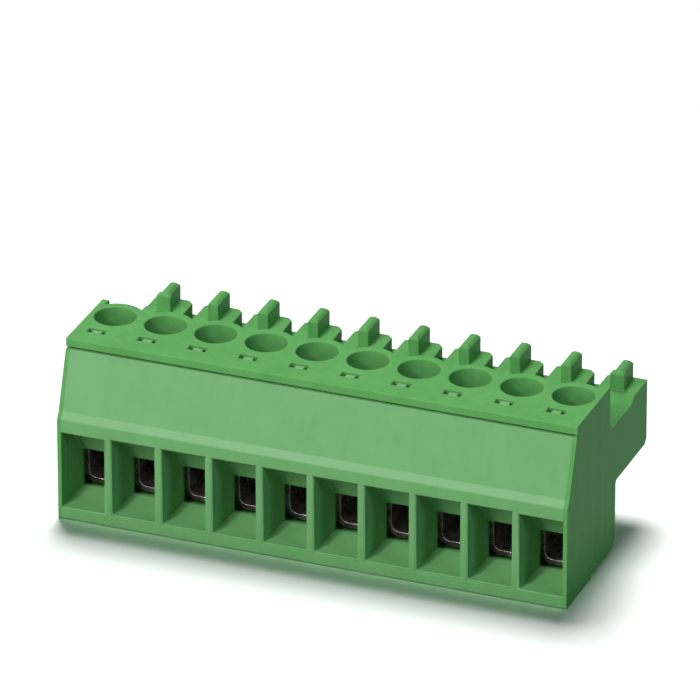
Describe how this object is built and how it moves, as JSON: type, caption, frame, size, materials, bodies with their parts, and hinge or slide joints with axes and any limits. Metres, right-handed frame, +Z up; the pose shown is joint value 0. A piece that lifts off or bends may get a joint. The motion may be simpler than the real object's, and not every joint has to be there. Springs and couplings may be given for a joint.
{
  "type": "pluggable terminal block",
  "caption": "Pluggable screw terminal block: wire funnels under a sloped label face, clamp screws on top, and a coded socket nose at the back that pushes onto a board header.",
  "frame": {"origin": "middle of the overall box in plan, at the height of the flat bottom", "axes": "+X along the row of poles with pole 1 at -X, +Y from the wire side to the plug nose, +Z up to the screw heads"},
  "size_m": [0.0382, 0.0164, 0.0133],
  "materials": {
    "housing_plastic": "moulded, satin",
    "cover_plastic": "moulded, satin",
    "screw_steel": "zinc plated",
    "cage_metal": "nickel plated",
    "contact_metal": "tin plated"
  },
  "bodies": {
    "block": {"housing": "housing_plastic", "front_cover": "cover_plastic", "contact_01": "contact_metal", "contact_02": "contact_metal", "contact_03": "contact_metal", "contact_04": "contact_metal", "contact_05": "contact_metal", "contact_06": "contact_metal", "contact_07": "contact_metal", "contact_08": "contact_metal", "contact_09": "contact_metal", "contact_10": "contact_metal"},
    "screw_01": {"clamp_screw_01": "screw_steel"},
    "cage_01": {"clamp_cage_01": "cage_metal"},
    "screw_02": {"clamp_screw_02": "screw_steel"},
    "cage_02": {"clamp_cage_02": "cage_metal"},
    "screw_03": {"clamp_screw_03": "screw_steel"},
    "cage_03": {"clamp_cage_03": "cage_metal"},
    "screw_04": {"clamp_screw_04": "screw_steel"},
    "cage_04": {"clamp_cage_04": "cage_metal"},
    "screw_05": {"clamp_screw_05": "screw_steel"},
    "cage_05": {"clamp_cage_05": "cage_metal"},
    "screw_06": {"clamp_screw_06": "screw_steel"},
    "cage_06": {"clamp_cage_06": "cage_metal"},
    "screw_07": {"clamp_screw_07": "screw_steel"},
    "cage_07": {"clamp_cage_07": "cage_metal"},
    "screw_08": {"clamp_screw_08": "screw_steel"},
    "cage_08": {"clamp_cage_08": "cage_metal"},
    "screw_09": {"clamp_screw_09": "screw_steel"},
    "cage_09": {"clamp_cage_09": "cage_metal"},
    "screw_10": {"clamp_screw_10": "screw_steel"},
    "cage_10": {"clamp_cage_10": "cage_metal"}
  },
  "joints": [
    {"name": "screw_01_turn", "type": "hinge", "parent": "block", "child": "screw_01", "pos_m": [-0.01715, -0.00185, 0.008], "axis": [0, 0, -1], "range_deg": [0, 1980]},
    {"name": "cage_01_lift", "type": "slide", "parent": "block", "child": "cage_01", "axis": [0, 0, 1], "range_m": [0, 0.0022]},
    {"name": "screw_02_turn", "type": "hinge", "parent": "block", "child": "screw_02", "pos_m": [-0.01333, -0.00185, 0.008], "axis": [0, 0, -1], "range_deg": [0, 1980]},
    {"name": "cage_02_lift", "type": "slide", "parent": "block", "child": "cage_02", "axis": [0, 0, 1], "range_m": [0, 0.0022]},
    {"name": "screw_03_turn", "type": "hinge", "parent": "block", "child": "screw_03", "pos_m": [-0.00953, -0.00185, 0.008], "axis": [0, 0, -1], "range_deg": [0, 1980]},
    {"name": "cage_03_lift", "type": "slide", "parent": "block", "child": "cage_03", "axis": [0, 0, 1], "range_m": [0, 0.0022]},
    {"name": "screw_04_turn", "type": "hinge", "parent": "block", "child": "screw_04", "pos_m": [-0.00571, -0.00185, 0.008], "axis": [0, 0, -1], "range_deg": [0, 1980]},
    {"name": "cage_04_lift", "type": "slide", "parent": "block", "child": "cage_04", "axis": [0, 0, 1], "range_m": [0, 0.0022]},
    {"name": "screw_05_turn", "type": "hinge", "parent": "block", "child": "screw_05", "pos_m": [-0.00191, -0.00185, 0.008], "axis": [0, 0, -1], "range_deg": [0, 1980]},
    {"name": "cage_05_lift", "type": "slide", "parent": "block", "child": "cage_05", "axis": [0, 0, 1], "range_m": [0, 0.0022]},
    {"name": "screw_06_turn", "type": "hinge", "parent": "block", "child": "screw_06", "pos_m": [0.00191, -0.00185, 0.008], "axis": [0, 0, -1], "range_deg": [0, 1980]},
    {"name": "cage_06_lift", "type": "slide", "parent": "block", "child": "cage_06", "axis": [0, 0, 1], "range_m": [0, 0.0022]},
    {"name": "screw_07_turn", "type": "hinge", "parent": "block", "child": "screw_07", "pos_m": [0.00571, -0.00185, 0.008], "axis": [0, 0, -1], "range_deg": [0, 1980]},
    {"name": "cage_07_lift", "type": "slide", "parent": "block", "child": "cage_07", "axis": [0, 0, 1], "range_m": [0, 0.0022]},
    {"name": "screw_08_turn", "type": "hinge", "parent": "block", "child": "screw_08", "pos_m": [0.00953, -0.00185, 0.008], "axis": [0, 0, -1], "range_deg": [0, 1980]},
    {"name": "cage_08_lift", "type": "slide", "parent": "block", "child": "cage_08", "axis": [0, 0, 1], "range_m": [0, 0.0022]},
    {"name": "screw_09_turn", "type": "hinge", "parent": "block", "child": "screw_09", "pos_m": [0.01333, -0.00185, 0.008], "axis": [0, 0, -1], "range_deg": [0, 1980]},
    {"name": "cage_09_lift", "type": "slide", "parent": "block", "child": "cage_09", "axis": [0, 0, 1], "range_m": [0, 0.0022]},
    {"name": "screw_10_turn", "type": "hinge", "parent": "block", "child": "screw_10", "pos_m": [0.01715, -0.00185, 0.008], "axis": [0, 0, -1], "range_deg": [0, 1980]},
    {"name": "cage_10_lift", "type": "slide", "parent": "block", "child": "cage_10", "axis": [0, 0, 1], "range_m": [0, 0.0022]}
  ],
  "couplings": [
    {"joint": "screw_01_turn", "follows": "cage_01_lift", "rad_per_m": 15708},
    {"joint": "screw_02_turn", "follows": "cage_02_lift", "rad_per_m": 15708},
    {"joint": "screw_03_turn", "follows": "cage_03_lift", "rad_per_m": 15708},
    {"joint": "screw_04_turn", "follows": "cage_04_lift", "rad_per_m": 15708},
    {"joint": "screw_05_turn", "follows": "cage_05_lift", "rad_per_m": 15708},
    {"joint": "screw_06_turn", "follows": "cage_06_lift", "rad_per_m": 15708},
    {"joint": "screw_07_turn", "follows": "cage_07_lift", "rad_per_m": 15708},
    {"joint": "screw_08_turn", "follows": "cage_08_lift", "rad_per_m": 15708},
    {"joint": "screw_09_turn", "follows": "cage_09_lift", "rad_per_m": 15708},
    {"joint": "screw_10_turn", "follows": "cage_10_lift", "rad_per_m": 15708}
  ]
}
